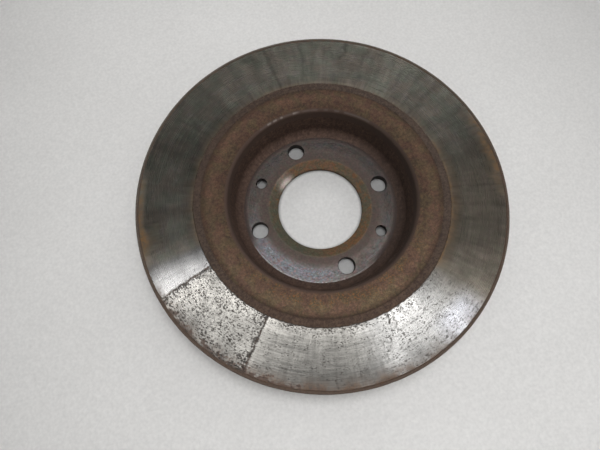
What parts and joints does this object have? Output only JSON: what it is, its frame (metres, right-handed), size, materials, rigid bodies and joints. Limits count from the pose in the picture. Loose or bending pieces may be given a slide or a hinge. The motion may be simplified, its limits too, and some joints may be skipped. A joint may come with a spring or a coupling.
{
  "type": "brake disc rotor",
  "caption": "Ventilated front brake disc: two friction rings joined by cooling vanes, with a deep hollow hat, a mounting flange, a centring bore and wheel-bolt holes.",
  "frame": {"origin": "centre of the hub seat: the flange face inside the hollow hat, on the axis of rotation", "axes": "+Z along the axis of rotation, pointing inboard out of the hollow side; +X through one wheel-bolt hole"},
  "size_m": [0.288, 0.288, 0.0356],
  "materials": {
    "friction_iron": "machined and worn by the pads, concentric scoring, rust at both edges",
    "friction_iron_outboard": "machined and worn by the pads, concentric scoring, rust at both edges",
    "vane_iron": "as cast, rusted",
    "rusted_iron": "as cast, grainy brown rust",
    "dark_rusted_iron": "as cast, dark brown rust",
    "seat_iron": "turned, blue-grey and brown oxide, orange rust round the bore"
  },
  "bodies": {
    "root": {"inboard_friction_ring": "friction_iron", "outboard_friction_ring": "friction_iron_outboard", "cooling_vanes": "vane_iron", "hat_neck_ring": "rusted_iron", "hat_wall": "dark_rusted_iron", "hub_flange": "seat_iron"}
  },
  "joints": []
}
